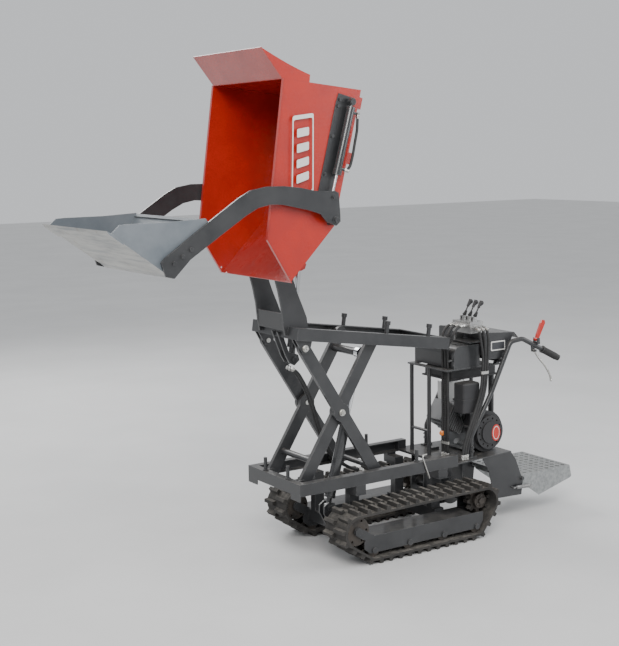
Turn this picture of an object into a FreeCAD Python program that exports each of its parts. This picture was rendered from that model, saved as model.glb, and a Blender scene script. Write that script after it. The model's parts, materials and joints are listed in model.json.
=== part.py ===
import FreeCAD
import Part
import math
import os

V = FreeCAD.Vector

# ---- driving dimensions, mm: +X forward, +Y to the machine's left, +Z up, ground at z = 0 ----
FRAME_X = -361.0        # moves the whole machine so its bounding box is centred on x = 0

TRACK_Y = 276.0         # centre plane of each track
BELT_W = 180.0
BELT_T = 12.0
LUG_H = 20.0
LUG_PITCH = 60.0
HORN_H = 17.0
IDLER = (527.0, 180.0, 73.0)          # x, z, radius of the belt's inner surface
SPROCKET = (-292.0, 190.0, 70.4)
TEETH = 8
ROLLER_X = (427.0, 205.0, -18.0, -240.0)
ROLLER_Z = 68.0
ROLLER_R = 36.0

BED_W = 243.5           # lower frame half width
BED_FRONT = 796.0
BED_REAR = -150.0
BED_Z = (377.0, 437.0)
DECK_Z = (384.0, 390.0)
DECK_REAR = -612.0

ARM_FOOT = (717.0, 402.0)             # inner arm pivot on the lower frame
ARM_ANGLE = 57.67                     # arms from horizontal, degrees
ARM_HALF = 408.3                      # pivot to centre pin
ARM_H = 64.0
ARM_T = 22.0
INNER_Y = 144.0
OUTER_Y = 171.0
TUBE_BACK = 86.0                      # cross tube below the inner arm's top end

TOP_TILT = 8.35                       # upper frame nose-up, degrees
TOP_PIN_DROP = 68.0
TOP_W = 211.0
TOP_FRONT = 66.0
TOP_REAR = -882.0

SKIP_STOPS = (-481.0, -752.0)         # along the upper frame, from its pivot

HINGE = (785.0, 1462.0)               # skip hinge
TIP_FOOT = (692.0, 1019.0)
TIP_HEAD = (640.0, 1480.0)
TIP_Y = 25.0

SKIP_SHIFT = 788.0      # skip floor's rear edge behind the upper frame's pivot, skip lowered
SKIP_ORIGIN = (465.0, 2318.0)
SKIP_TILT = 75.5
SKIP_W = 320.0
SHEET = 3.0
SKIP_FLOOR = 654.0
SKIP_LIP = (960.0, 180.0)
SKIP_KNEE = (793.0, 353.0)
SKIP_BACK = (65.0, 437.0)
DEFLECTOR_TIP = (-38.0, 575.0)

LIFT_FOOT = (539.0, 250.0)
LIFT_Y = 100.0

ARM_PIVOT = (648.0, 1716.0)           # shovel arm pivot on the skip bracket
ARM_CRANK = (660.0, 1824.0)           # cylinder pin on the shovel arm
RAM_TOP = (538.0, 2262.0)             # fixed end of the shovel cylinder
RAM_Y = 348.5
SHOVEL_ARM_Y = (357.0, 367.0)

SHOVEL_ORIGIN = (1500.0, 1498.0)
SHOVEL_TILT = 36.0
SHOVEL_W = 352.0
SHOVEL_FLOOR = 352.0
SHOVEL_BACK = 300.0

FIT = 0.05              # radial clearance of pins and rods in their bores
GAP = 0.5               # clearance between parts that move past each other


# ---- helpers ----
def box(x0, x1, y0, y1, z0, z1):
    return Part.makeBox(x1 - x0, y1 - y0, z1 - z0, V(x0, y0, z0))


def sym_box(x0, x1, y0, y1, z0, z1):
    """One box on each side of the centre plane."""
    return [box(x0, x1, y0, y1, z0, z1), box(x0, x1, -y1, -y0, z0, z1)]


def cyl_y(x, z, r, y0, y1):
    return Part.makeCylinder(r, y1 - y0, V(x, y0, z), V(0, 1, 0))


def cyl(p, q, r):
    a, b = V(*p), V(*q)
    return Part.makeCylinder(r, (b - a).Length, a, b - a)


def plate(points, y0, y1):
    """Prism of a polygon given in the XZ plane."""
    pts = [V(x, y0, z) for x, z in points]
    face = Part.Face(Part.makePolygon(pts + pts[:1]))
    return face.extrude(V(0, y1 - y0, 0))


def plate_x(points, x0, x1):
    """Prism of a polygon given in the YZ plane."""
    pts = [V(x0, y, z) for y, z in points]
    face = Part.Face(Part.makePolygon(pts + pts[:1]))
    return face.extrude(V(x1 - x0, 0, 0))


def slab(points, z0, z1):
    """Prism of a polygon given in the XY plane."""
    pts = [V(x, y, z0) for x, y in points]
    face = Part.Face(Part.makePolygon(pts + pts[:1]))
    return face.extrude(V(0, 0, z1 - z0))


def bar(p, q, width, y0, y1, r0=None, r1=None):
    """Flat bar between two XZ points with rounded ends."""
    dx, dz = q[0] - p[0], q[1] - p[1]
    length = math.hypot(dx, dz)
    nx, nz = -dz / length * width / 2, dx / length * width / 2
    body = plate([(p[0] + nx, p[1] + nz), (q[0] + nx, q[1] + nz),
                  (q[0] - nx, q[1] - nz), (p[0] - nx, p[1] - nz)], y0, y1)
    ends = [cyl_y(p[0], p[1], r0 or width / 2, y0, y1), cyl_y(q[0], q[1], r1 or width / 2, y0, y1)]
    return body.fuse(ends).removeSplitter()


def bent_tube(points, r, bend=None):
    """Round bar along straight runs joined by tangent arcs, as large as the runs allow unless bend is given."""
    pts = [V(*p) for p in points]
    edges = []
    last = pts[0]
    for a, b, c in zip(pts, pts[1:], pts[2:]):
        u = (a - b).normalize()
        w = (c - b).normalize()
        half = u.getAngle(w) / 2
        radius = bend or 0.45 * min((a - b).Length, (c - b).Length) * math.tan(half)
        run = radius / math.tan(half)
        p, q = b + u * run, b + w * run
        mid = (u + w).normalize()
        centre = b + mid * (radius / math.sin(half))
        edges.append(Part.makeLine(last, p))
        edges.append(Part.Arc(p, centre - mid * radius, q).toShape())
        last = q
    edges.append(Part.makeLine(last, pts[-1]))
    ring = Part.Wire(Part.makeCircle(r, pts[0], pts[1] - pts[0]))
    return Part.Wire(edges).makePipeShell([ring], True, True)


def joined(shapes):
    first, rest = shapes[0], shapes[1:]
    return first.fuse(rest).removeSplitter() if rest else first


def mirror(shape):
    return shape.mirror(V(0, 0, 0), V(0, 1, 0))


def both(shape):
    return [shape, mirror(shape)]


def tilted(shape, degrees, origin):
    """Turn about +Y through the origin (positive is nose down), then move to (x, z)."""
    s = shape.copy()
    s.rotate(V(0, 0, 0), V(0, 1, 0), degrees)
    s.translate(V(origin[0], 0, origin[1]))
    return s


def along(p, q, d):
    """Point at distance d from p towards q, in the XZ plane."""
    length = math.hypot(q[0] - p[0], q[1] - p[1])
    return (p[0] + (q[0] - p[0]) * d / length, p[1] + (q[1] - p[1]) * d / length)


def arc_points(cx, cz, r, a0, a1, n):
    return [(cx + r * math.cos(math.radians(a0 + (a1 - a0) * i / n)),
             cz + r * math.sin(math.radians(a0 + (a1 - a0) * i / n))) for i in range(n + 1)]


def export(name, shape):
    s = shape.copy()
    s.translate(V(FRAME_X, 0, 0))
    s.exportStep("parts/%s.step" % name)


def group(shapes):
    return Part.makeCompound(shapes)


# ---- frame directions ----
c_arm = math.cos(math.radians(ARM_ANGLE))
s_arm = math.sin(math.radians(ARM_ANGLE))
CENTRE = (ARM_FOOT[0] - ARM_HALF * c_arm, ARM_FOOT[1] + ARM_HALF * s_arm)
INNER_TOP = (ARM_FOOT[0] - 2 * ARM_HALF * c_arm, ARM_FOOT[1] + 2 * ARM_HALF * s_arm)
OUTER_FOOT = (ARM_FOOT[0] - 2 * ARM_HALF * c_arm, ARM_FOOT[1])
OUTER_TOP = (ARM_FOOT[0], ARM_FOOT[1] + 2 * ARM_HALF * s_arm)
LIFT_HEAD = along(INNER_TOP, ARM_FOOT, TUBE_BACK)

c_top = math.cos(math.radians(TOP_TILT))
s_top = math.sin(math.radians(TOP_TILT))
TOP_ORIGIN = (OUTER_TOP[0] - TOP_PIN_DROP * s_top, OUTER_TOP[1] + TOP_PIN_DROP * c_top)


# ---- tracks ----
def tangent_runs(wheels):
    """Outer tangent lines round a list of (x, z, r) wheels, counter-clockwise seen from -Y."""
    runs = []
    n = len(wheels)
    for i in range(n):
        x0, z0, r0 = wheels[i]
        x1, z1, r1 = wheels[(i + 1) % n]
        dx, dz = x1 - x0, z1 - z0
        d = math.hypot(dx, dz)
        base = math.atan2(dz, dx)
        off = math.acos((r0 - r1) / d)
        ang = base - off
        ux, uz = math.cos(ang), math.sin(ang)
        runs.append(((x0 + r0 * ux, z0 + r0 * uz), (x1 + r1 * ux, z1 + r1 * uz), ang))
    return runs


def loop_wire(wheels, y):
    runs = tangent_runs(wheels)
    edges = []
    for i, (p, q, ang) in enumerate(runs):
        edges.append(Part.makeLine(V(p[0], y, p[1]), V(q[0], y, q[1])))
        x, z, r = wheels[(i + 1) % len(wheels)]
        nxt = runs[(i + 1) % len(runs)]
        a0, a1 = ang, nxt[2]
        while a1 < a0:
            a1 += 2 * math.pi
        am = (a0 + a1) / 2
        edges.append(Part.Arc(V(q[0], y, q[1]), V(x + r * math.cos(am), y, z + r * math.sin(am)),
                              V(nxt[0][0], y, nxt[0][1])).toShape())
    return Part.Wire(edges)


# order of wheels along the belt: rear roller, front roller, idler, sprocket
LOOP = [(ROLLER_X[3], ROLLER_Z, ROLLER_R), (ROLLER_X[0], ROLLER_Z, ROLLER_R), IDLER, SPROCKET]


def grown(wheels, d):
    return [(x, z, r + d) for x, z, r in wheels]


def stations(wheels, count, shift):
    """Points and outward angles spaced evenly along the loop."""
    wire = loop_wire(wheels, 0.0)
    total = wire.Length
    pts = wire.discretize(Number=int(total) * 2)
    cum = [0.0]
    for a, b in zip(pts, pts[1:]):
        cum.append(cum[-1] + (b - a).Length)
    out = []
    j = 0
    targets = sorted(((i + shift) * total / count) % total for i in range(count))
    for t in targets:
        while cum[j + 1] < t:
            j += 1
        f = (t - cum[j]) / (cum[j + 1] - cum[j])
        p = pts[j] + (pts[j + 1] - pts[j]) * f
        d = (pts[j + 1] - pts[j]).normalize()
        out.append((p.x, p.z, math.atan2(-d.x, d.z)))
    return out


def block_on_belt(x, z, ang, height, length, y0, y1, taper, inward):
    """Tapered block standing on the belt's outer (or inner) surface."""
    sign = -1.0 if inward else 1.0
    nx, nz = sign * math.cos(ang), sign * math.sin(ang)
    tx, tz = -math.sin(ang), math.cos(ang)
    a, b = length / 2, length / 2 - taper
    base = 2.0
    pts = []
    for s, h in ((-a, -base), (a, -base), (b, height), (-b, height)):
        pts.append((x + tx * s + nx * h, z + tz * s + nz * h))
    return plate(pts, y0, y1)


def build_belt():
    outer = Part.Face(loop_wire(grown(LOOP, BELT_T), -BELT_W / 2))
    inner = Part.Face(loop_wire(LOOP, -BELT_W / 2))
    band = outer.cut(inner).extrude(V(0, BELT_W, 0))
    mid = grown(LOOP, BELT_T / 2)
    count = int(round(loop_wire(mid, 0.0).Length / LUG_PITCH))
    blocks = []
    outer_line = grown(LOOP, BELT_T)
    for row, (y0, y1) in enumerate(((-88.0, -6.0), (6.0, 88.0))):
        for x, z, ang in stations(outer_line, count, 0.5 * row):
            blocks.append(block_on_belt(x, z, ang, LUG_H, 27.0, y0, y1, 5.0, False))
    for y0, y1 in ((-33.0, -23.0), (23.0, 33.0)):
        for x, z, ang in stations(LOOP, count, 0.25):
            blocks.append(block_on_belt(x, z, ang, HORN_H, 20.0, y0, y1, 5.0, True))
    return band.fuse(blocks)


def wheel_pair(x, z, r, hub_r, y_in, y_out, bore):
    """Twin-disc wheel on a hub, centred on y = 0."""
    hub = cyl_y(x, z, hub_r, -y_out, y_out)
    discs = [cyl_y(x, z, r, y_in, y_out), cyl_y(x, z, r, -y_out, -y_in)]
    return joined([hub] + discs).cut(cyl_y(x, z, bore, -y_out - 1, y_out + 1))


AXLE_R = 10.0


def build_rollers(i):
    x = ROLLER_X[i]
    return wheel_pair(x, ROLLER_Z, ROLLER_R - GAP, 15.0, 38.0, 62.0, AXLE_R + FIT)


def build_idler():
    x, z, r = IDLER
    s = wheel_pair(x, z, r - GAP, 45.0, 38.0, 62.0, 14.0 + FIT)
    holes = []
    for k in range(6):
        a = math.radians(60 * k)
        holes.append(cyl_y(x + 57 * math.cos(a), z + 57 * math.sin(a), 7.0, -63, 63))
    return s.cut(holes)


def build_sprocket():
    x, z, r = SPROCKET
    tip, root = r - GAP, r - 19.0
    pts = []
    for k in range(TEETH):
        a = 360.0 / TEETH * k
        for da, rad in ((-12.0, root), (-6.5, tip), (6.5, tip), (12.0, root)):
            t = math.radians(a + da)
            pts.append((x + rad * math.cos(t), z + rad * math.sin(t)))
    ring = plate(pts, -17.0, 17.0)
    hub = cyl_y(x, z, 38.0, -40.0, 40.0)
    cap = cyl_y(x, z, 16.0, 40.0, 52.0)
    bolts = []
    for k in range(6):
        a = math.radians(60 * k + 30)
        bolts.append(cyl_y(x + 28 * math.cos(a), z + 28 * math.sin(a), 5.0, 39.0, 46.0))
    return joined([ring, hub, cap] + bolts).cut(cyl_y(x, z, 16.0 + FIT, -41.0, 30.0))


def build_undercarriage():
    parts = []
    for side in (1, -1):
        yc = side * TRACK_Y
        for sgn in (1, -1):
            y0 = yc + sgn * 68.0 - 3.0
            rail = plate([(-262, 58), (-284, 96), (-284, 143), (458, 143), (488, 120), (488, 84), (452, 56)],
                         y0, y0 + 6)
            arm = bar((440.0, 128.0), (IDLER[0], IDLER[1]), 44.0, y0, y0 + 6)
            parts += [rail, arm]
        parts.append(box(-214, 458, yc - 71, yc + 71, 137, 143))
        parts.append(box(330, 420, yc - 65, yc + 65, 112, 137))
        for x in ROLLER_X:
            parts.append(cyl_y(x, ROLLER_Z, AXLE_R, yc - 74, yc + 74))
            parts.append(cyl_y(x, ROLLER_Z, 15.0, yc + 71 if side > 0 else yc - 79,
                               yc + 79 if side > 0 else yc - 71))
        parts.append(cyl_y(IDLER[0], IDLER[1], 14.0, yc - 72, yc + 72))
        parts.append(cyl_y(IDLER[0], IDLER[1], 19.0, yc + 71 if side > 0 else yc - 80,
                           yc + 80 if side > 0 else yc - 71))
    for x0, x1 in ((398.0, 456.0), (-130.0, -72.0)):
        parts.append(box(x0, x1, -208, 208, 96, 156))
        parts += sym_box(x0, x1, 138, 178, 155, 326)
        parts += sym_box(x0, x1, 138, BED_W - 4, 325, 365)
        parts += sym_box(x0, x1, 206, BED_W - 4, 364, BED_Z[0])
    for y0 in (LIFT_Y - 26, LIFT_Y + 16):
        cheek = plate([(450, 98), (506, 98), (576, 226), (574, 264), (546, 282), (512, 272), (498, 230), (450, 156)],
                      y0, y0 + 10)
        parts.append(cheek)
    stub = cyl_y(LIFT_FOOT[0], LIFT_FOOT[1], 15.0, LIFT_Y - 36, LIFT_Y - 16 - 0.1)
    stub2 = cyl_y(LIFT_FOOT[0], LIFT_FOOT[1], 15.0, LIFT_Y + 16 + 0.1, LIFT_Y + 36)
    parts += [stub, stub2]
    return joined(parts)


# ---- lower frame with the engine deck ----
def channel(x0, x1, y_web, y_open, z0, z1, t):
    """C-section beam along X, open towards y_open."""
    lo, hi = min(y_web, y_open), max(y_web, y_open)
    web = (hi - t, hi) if y_web > y_open else (lo, lo + t)
    return joined([box(x0, x1, lo, hi, z0, z0 + t), box(x0, x1, lo, hi, z1 - t, z1),
                   box(x0, x1, web[0], web[1], z0, z1)])


def build_lower_frame():
    z0, z1 = BED_Z
    parts = [channel(BED_REAR, BED_FRONT, BED_W, BED_W - 40, z0, z1, 5.0),
             channel(BED_REAR, BED_FRONT, -BED_W, -BED_W + 40, z0, z1, 5.0),
             box(BED_FRONT - 40, BED_FRONT, -BED_W, BED_W, z0, z1),
             box(-195, -152, -BED_W, BED_W, z0, 384.5)]
    parts += sym_box(BED_FRONT - 6, BED_FRONT, 160, BED_W, z0 - 26, z0 + 1)
    for y in (INNER_Y, -INNER_Y):
        for y0 in (y - 11 - 8 - GAP, y + 11 + GAP):
            lug = plate([(760, 380), (760, 434), (717, 434), (690, 412), (690, 392), (717, 372)], y0, y0 + 8)
            parts.append(lug)
    deck = slab([(BED_REAR, -BED_W), (BED_REAR, BED_W), (DECK_REAR, 205), (DECK_REAR, -205)], *DECK_Z)
    parts.append(deck)
    parts += sym_box(-200, BED_REAR + 2, BED_W - 40, BED_W, z0, z1)
    for side in (1, -1):
        y = side * 205.0
        y0, y1 = min(y, y - side * 5), max(y, y - side * 5)
        skirt = plate([(-400, 386), (DECK_REAR + 2, 386), (-645, 340), (-700, 210), (-690, 132), (-490, 140), (-452, 300)],
                      y0, y1)
        parts.append(skirt)
        stud = pivot_bolt(STEP_HINGE, 8.0, 188.0, 205.0, 18.0)
        parts.append(stud if side > 0 else mirror(stud))
    parts.append(box(DECK_REAR, DECK_REAR + 5, -204, 204, 300, 386))
    parts += sym_box(-230, -200, 150, 156, 300, 386)
    # stops for the lowered upper frame
    for x, y, top in ((776, 105, 503), (776, -105, 503), (60, BED_W - 22, 500), (60, -BED_W + 22, 500)):
        parts.append(Part.makeCylinder(9.0, top - z1 + 2, V(x, y, z1 - 2)))
        parts.append(Part.makeCylinder(15.0, 6.0, V(x, y, z1 - 0.5)))
    # engine feet
    for x in (-300, -520):
        for y in (-80, 80):
            parts.append(box(x - 25, x + 25, y - 14, y + 14, 389.5, 404))
    # stand of the hydraulic tank
    for y in (-150, 0):
        parts.append(Part.makeCylinder(11.0, 872 - 389, V(-201, y, 389)))
    parts.append(cyl_y(-201, 520, 8.0, -150, 0))
    parts.append(box(-216, -186, -168, 168, 872, 880))
    for y0 in (-168, 140):
        parts.append(box(-556, -216, y0, y0 + 28, 872, 880))
        parts.append(box(-556, -534, y0, y0 + 28, 879, 889))
    return joined(parts).cut(cyl_y(ARM_FOOT[0], ARM_FOOT[1], 12.0 + FIT, -200, 200))


# ---- scissor ----
def build_inner_arms():
    parts = []
    for y in (INNER_Y, -INNER_Y):
        y0, y1 = y - ARM_T / 2, y + ARM_T / 2
        arm = bar(ARM_FOOT, INNER_TOP, ARM_H, y0, y1)
        knee = cyl_y(CENTRE[0], CENTRE[1], 44.0, y0, y1)
        arm = arm.fuse(knee)
        for p, r in ((ARM_FOOT, 12.0), (CENTRE, 12.0), (INNER_TOP, 9.0)):
            arm = arm.cut(cyl_y(p[0], p[1], r + FIT, y0 - 1, y1 + 1))
        parts.append(arm)
    in_y = INNER_Y - ARM_T / 2 + 1
    parts.append(cyl_y(LIFT_HEAD[0], LIFT_HEAD[1], 20.0, -in_y, in_y))
    low = along(ARM_FOOT, INNER_TOP, 130.0)
    parts.append(cyl_y(low[0], low[1], 16.0, -in_y, in_y))
    return joined(parts)


def build_outer_arms():
    parts = []
    for y in (OUTER_Y, -OUTER_Y):
        y0, y1 = y - ARM_T / 2, y + ARM_T / 2
        arm = bar(OUTER_FOOT, OUTER_TOP, ARM_H, y0, y1)
        knee = cyl_y(CENTRE[0], CENTRE[1], 46.0, y0, y1)
        arm = arm.fuse(knee)
        for p, r in ((OUTER_FOOT, 9.0), (CENTRE, 12.0), (OUTER_TOP, 12.0)):
            arm = arm.cut(cyl_y(p[0], p[1], r + FIT, y0 - 1, y1 + 1))
        parts.append(arm)
    low = along(OUTER_FOOT, OUTER_TOP, 42.0)
    out_y = OUTER_Y - ARM_T / 2 + 1
    parts.append(cyl_y(low[0], low[1], 14.0, -out_y, out_y))
    return joined(parts)


ROLLER_LOW_R = 19.5
ROLLER_TOP_R = 12.5


def build_rollers_lower():
    x, z = OUTER_FOOT
    shaft = cyl_y(x, z, 9.0, OUTER_Y - ARM_T / 2 - 3, 226)
    wheel = cyl_y(x, z, ROLLER_LOW_R, OUTER_Y + ARM_T / 2 + 6, 236)
    return group(both(joined([shaft, wheel])))


def build_rollers_upper():
    x, z = INNER_TOP
    shaft = cyl_y(x, z, 9.0, INNER_Y - ARM_T / 2 - 3, 190)
    wheel = cyl_y(x, z, ROLLER_TOP_R, TOP_W - 38, TOP_W - 7)
    return group(both(joined([shaft, wheel])))


def pivot_bolt(p, r, y_in, y_out, head):
    """Pivot bolt along Y from the inner to the outer face with a round washer and hexagon head."""
    shank = cyl_y(p[0], p[1], r, y_in, y_out)
    washer = cyl_y(p[0], p[1], head * 0.72, y_out - 0.2, y_out + 2.5)
    hexa = plate([(p[0] + head * 0.577 * math.cos(math.radians(60 * i + 12)),
                   p[1] + head * 0.577 * math.sin(math.radians(60 * i + 12))) for i in range(6)],
                 y_out + 2.0, y_out + 12.0)
    return joined([shank, washer, hexa])


def build_bolts_lower():
    """Foot pivots of the inner arms."""
    b = pivot_bolt(ARM_FOOT, 12.0, INNER_Y - 24, INNER_Y + 22, 24.0)
    return group(both(b))


def build_bolts_centre():
    b = pivot_bolt(CENTRE, 12.0, INNER_Y - ARM_T / 2 - 4, OUTER_Y + ARM_T / 2 + 0.5, 24.0)
    return group(both(b))


def build_bolts_upper():
    """Pivots of the outer arms under the upper frame, and of the skip in the mast heads."""
    arm = pivot_bolt(OUTER_TOP, 12.0, OUTER_Y - 24, OUTER_Y + ARM_T / 2 + 10, 24.0)
    hinge = pivot_bolt(HINGE, 14.0, 70.0, 124.5, 28.0)
    return group(both(arm) + both(hinge))


# ---- lift cylinder ----
def cylinder_parts(foot, head, yc, tube_r, rod_r, barrel_len, rod_len, foot_eye, head_eye, eye_half, port, neck):
    """Barrel and rod of a hydraulic cylinder lying in the plane y = yc."""
    length = math.hypot(head[0] - foot[0], head[1] - foot[1])
    ux, uz = (head[0] - foot[0]) / length, (head[1] - foot[1]) / length

    def at(d):
        return (foot[0] + ux * d, yc, foot[1] + uz * d)

    foot_r, foot_bore = foot_eye
    head_r, head_bore = head_eye
    bore_r = tube_r - 6.0
    barrel = joined([cyl(at(neck), at(barrel_len), tube_r),
                     cyl(at(barrel_len - 26), at(barrel_len), tube_r + 3),
                     cyl(at(neck), at(neck + 14), tube_r + 1.5),
                     cyl(at(foot_r - 5), at(neck + 2), eye_half - 1),
                     cyl_y(foot[0], foot[1], foot_r, yc - eye_half, yc + eye_half)])
    barrel = barrel.cut([cyl(at(neck + 12), at(barrel_len - 26), bore_r),
                         cyl(at(barrel_len - 40), at(barrel_len + 2), rod_r + FIT),
                         cyl_y(foot[0], foot[1], foot_bore, yc - 99, yc + 99)])
    px, pz = -uz * port, ux * port
    for d in (neck + 22, barrel_len - 34):
        base = at(d)
        a = (base[0] + px * (bore_r + 3), yc, base[2] + pz * (bore_r + 3))
        b = (base[0] + px * (tube_r + 14), yc, base[2] + pz * (tube_r + 14))
        barrel = barrel.fuse(cyl(a, b, 7.0))
    rod = joined([cyl(at(length - rod_len), at(length - head_r + 4), rod_r),
                  cyl(at(length - rod_len), at(length - rod_len + 16), bore_r - 0.1),
                  cyl_y(head[0], head[1], head_r, yc - eye_half, yc + eye_half)])
    rod = rod.cut(cyl_y(head[0], head[1], head_bore, yc - 99, yc + 99))
    return barrel.removeSplitter(), rod


def build_lift():
    return cylinder_parts(LIFT_FOOT, LIFT_HEAD, LIFT_Y, 27.0, 14.0, 462.0, 420.0,
                          (24.0, 10.0), (32.0, 20.0 + FIT), 15.0, -1.0, 52.0)


# ---- upper frame with the mast ----
def build_upper_frame():
    t = 5.0
    beams = [channel(TOP_REAR, TOP_FRONT, TOP_W, TOP_W - 40, -30, 30, t),
             channel(TOP_REAR, TOP_FRONT, -TOP_W, -TOP_W + 40, -30, 30, t),
             box(TOP_FRONT - 6, TOP_FRONT, -TOP_W, TOP_W, -30, 30),
             box(TOP_REAR, TOP_REAR + 5, -TOP_W, TOP_W, -30, 30),
             box(TOP_REAR, TOP_REAR + 30, -TOP_W, TOP_W, 25, 30)]
    for side in (1, -1):
        for y0 in (OUTER_Y - ARM_T / 2 - GAP - 8, OUTER_Y + ARM_T / 2 + GAP):
            lo, hi = (y0, y0 + 8) if side > 0 else (-y0 - 8, -y0)
            lug = plate([(62, 4), (-36, -18), (-30, -70), (-16, -92), (14, -92), (30, -70), (62, -28)], lo, hi)
            beams.append(lug)
        # rubber-faced stops that carry the lowered skip
        for x in SKIP_STOPS:
            beams.append(Part.makeCylinder(11.0, 47.0, V(x, side * 190.0, 28.0)))
            beams.append(Part.makeCylinder(15.0, 20.0, V(x, side * 190.0, 74.0)))
    frame = joined(beams)
    lug_holes = [cyl_y(0, -TOP_PIN_DROP, 12.0 + FIT, -260, 260)]
    frame = frame.cut(lug_holes)
    frame = tilted(frame, -TOP_TILT, TOP_ORIGIN)
    outline = ([(655, 1176), (700, 1160), (745, 1150), (788, 1154), (797, 1205), (806, 1290)]
               + [(822, 1370), (836, 1420), (834, 1462)]
               + arc_points(HINGE[0], HINGE[1], 40.0, 20, 150, 8)
               + [(736, 1420), (712, 1352), (682, 1282), (662, 1232)])
    mast = []
    for y0 in (112.0, -124.0):
        mast.append(plate(outline, y0, y0 + 12))
    mast.append(box(768, 790, -113, 113, 1200, 1206))
    mast.append(plate([(784, 1178), (793, 1178), (800, 1262), (791, 1262)], -113, 113))
    for y0 in (TIP_Y - 28, TIP_Y + 18):
        cheek = plate([(764, 1165), (724, 1058), (700, 1052), (670, 1040), (662, 1012), (692, 988),
                       (720, 1002), (742, 1040), (790, 1165)], y0, y0 + 10)
        mast.append(cheek)
    mast.append(cyl_y(TIP_FOOT[0], TIP_FOOT[1], 13.0, TIP_Y - 36, TIP_Y + 36))
    frame = joined([frame] + mast)
    return frame.cut(cyl_y(HINGE[0], HINGE[1], 14.0 + FIT, -130, 130))


# ---- skip ----
def strip(points, t):
    """Closed outline of a bent sheet: the polyline and its offset by t to the right."""
    n = len(points)
    off = []
    for i in range(n):
        dirs = []
        if i > 0:
            dirs.append((points[i][0] - points[i - 1][0], points[i][1] - points[i - 1][1]))
        if i < n - 1:
            dirs.append((points[i + 1][0] - points[i][0], points[i + 1][1] - points[i][1]))
        norms = []
        for dx, dz in dirs:
            d = math.hypot(dx, dz)
            norms.append((dz / d, -dx / d))
        mx = sum(v[0] for v in norms) / len(norms)
        mz = sum(v[1] for v in norms) / len(norms)
        k = t / (mx * mx + mz * mz)
        off.append((points[i][0] + mx * k, points[i][1] + mz * k))
    return points + off[::-1]


def build_skip():
    w = SKIP_W
    t = SHEET
    profile = [SKIP_BACK, (0.0, 0.0), (SKIP_FLOOR, 0.0), SKIP_LIP]
    pan = plate(strip(profile, -t), -w, w)
    side = plate([(0.0, 0.0), (SKIP_FLOOR, 0.0), SKIP_LIP, SKIP_KNEE, SKIP_BACK], w - t, w)
    parts = [pan, side, mirror(side)]
    # outward rims along the side edges of the opening
    parts += both(plate(strip([SKIP_BACK, SKIP_KNEE, SKIP_LIP], t), w - 1, w + 13))
    # underframe rails that rest on the stops, and hinge cheeks under the front slope
    for y0 in (72.0, -106.0):
        rail = plate([(12, 0.5), (12, -60), (40, -66), (640, -66), (700, -40), (880, 40), (925, 62),
                      (940, 98), (930, 150), (900, 148), (SKIP_FLOOR, 1.5)], y0, y0 + 34)
        parts.append(rail)
    for x in SKIP_STOPS:
        bearer = x + SKIP_SHIFT
        parts.append(box(bearer - 28, bearer + 28, -204, 204, -98, 0.5))
    # head bracket of the tip cylinder
    hx, hz = to_skip(TIP_HEAD)
    for y0 in (TIP_Y - 28, TIP_Y + 18):
        parts.append(plate([(hx - 130, 0.5), (hx - 30, hz - 8), (hx - 10, hz - 24), (hx + 12, hz - 22),
                            (hx + 26, hz - 2), (hx + 60, slope_z(hx + 60)), (SKIP_FLOOR, 1.5)], y0, y0 + 10))
    body = joined(parts)
    cx, cz = to_skip(HINGE)
    holes = [cyl_y(cx, cz, 14.0 + FIT, -140, 140), cyl_y(SKIP_LIP[0] - 26, SKIP_LIP[1] + 12, 4.5, -w - 9, w + 9)]
    body = body.cut(holes)
    # stubs of the head pin stay inside the cheeks, the rod eye swings between them
    for y0, y1 in ((TIP_Y - 38, TIP_Y - 18 - 0.2), (TIP_Y + 18 + 0.2, TIP_Y + 38)):
        body = body.fuse(cyl_y(hx, hz, 12.0, y0, y1))
    return tilted(body.removeSplitter(), SKIP_TILT, SKIP_ORIGIN)


def slope_z(x):
    """Height inside the front slope's sheet, in the skip's own axes."""
    return (x - SKIP_FLOOR) * SKIP_LIP[1] / (SKIP_LIP[0] - SKIP_FLOOR) + 1.5


def to_skip(p):
    """World XZ point to the skip's own axes."""
    dx, dz = p[0] - SKIP_ORIGIN[0], p[1] - SKIP_ORIGIN[1]
    c, s = math.cos(math.radians(SKIP_TILT)), math.sin(math.radians(SKIP_TILT))
    return (dx * c - dz * s, dx * s + dz * c)


def build_deflector():
    """Bolted extension behind the skip's rear wall."""
    w = SKIP_W
    bx, bz = SKIP_BACK
    ux, uz = bx / math.hypot(bx, bz), bz / math.hypot(bx, bz)
    nx, nz = -uz, ux
    off = 0.2
    top = (bx + nx * off, bz + nz * off)
    low = (top[0] - ux * 70.0, top[1] - uz * 70.0)
    sheet = plate(strip([low, top, DEFLECTOR_TIP], -SHEET), -w, w)
    back = (top[0] - ux * 150.0, top[1] - uz * 150.0)
    edge = [DEFLECTOR_TIP]
    for i in range(1, 8):
        f = i / 8.0
        sag = 26.0 * math.sin(math.pi * f)
        edge.append((DEFLECTOR_TIP[0] + (back[0] + nx * 34 - DEFLECTOR_TIP[0]) * f + sag * ux * 0.6 - nx * -sag * -0.2,
                     DEFLECTOR_TIP[1] + (back[1] + nz * 34 - DEFLECTOR_TIP[1]) * f - sag * 0.5))
    wing = plate(edge + [(back[0] + nx * 34, back[1] + nz * 34), back, top], w - SHEET, w)
    parts = [sheet, wing, mirror(wing)]
    for y in (-270.0, -170.0, -70.0, 70.0, 170.0, 270.0):
        c = (low[0] + ux * 30.0, low[1] + uz * 30.0)
        a = (c[0] + nx * (SHEET - 0.5), y, c[1] + nz * (SHEET - 0.5))
        b = (c[0] + nx * (SHEET + 8.0), y, c[1] + nz * (SHEET + 8.0))
        parts.append(cyl(a, b, 7.0))
    return tilted(joined(parts), SKIP_TILT, SKIP_ORIGIN)


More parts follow.
